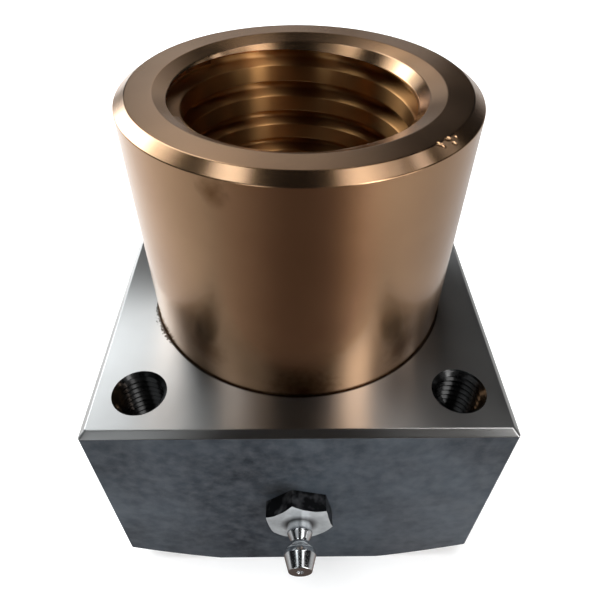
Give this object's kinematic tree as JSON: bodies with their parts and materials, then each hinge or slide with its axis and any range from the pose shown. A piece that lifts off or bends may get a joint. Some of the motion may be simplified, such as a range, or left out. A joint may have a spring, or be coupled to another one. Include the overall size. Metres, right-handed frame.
{
  "type": "lead screw nut",
  "caption": "Bronze lead screw nut with a right-hand trapezoidal thread, pressed into a square steel mounting block with tapped holes and a grease nipple.",
  "frame": {"origin": "on the screw's axis, in the plane of the bottom face", "axes": "+Z along the screw's axis towards the free end of the bronze nut; -Y is the way the grease nipple points"},
  "size_m": [0.08, 0.0935, 0.102],
  "materials": {
    "block_steel": "face-turned top with circular tool marks, mottled mill-scale sides",
    "bronze": "fine-turned bronze",
    "zinc_plate": "bright zinc plate",
    "ball_steel": "polished hardened ball",
    "spring_steel": "drawn spring wire"
  },
  "bodies": {
    "nut": {"flange_block": "block_steel", "bronze_nut": "bronze", "grease_nipple": "zinc_plate", "nipple_spring": "spring_steel"},
    "ball": {"nipple_ball": "ball_steel"}
  },
  "joints": [
    {"name": "ball_valve", "type": "slide", "parent": "nut", "child": "ball", "axis": [0, 1, 0], "range_m": [0, 0.0008], "stiffness_N_per_m": 500, "springref_m": -0.001, "deforming": ["nipple_spring"]}
  ]
}
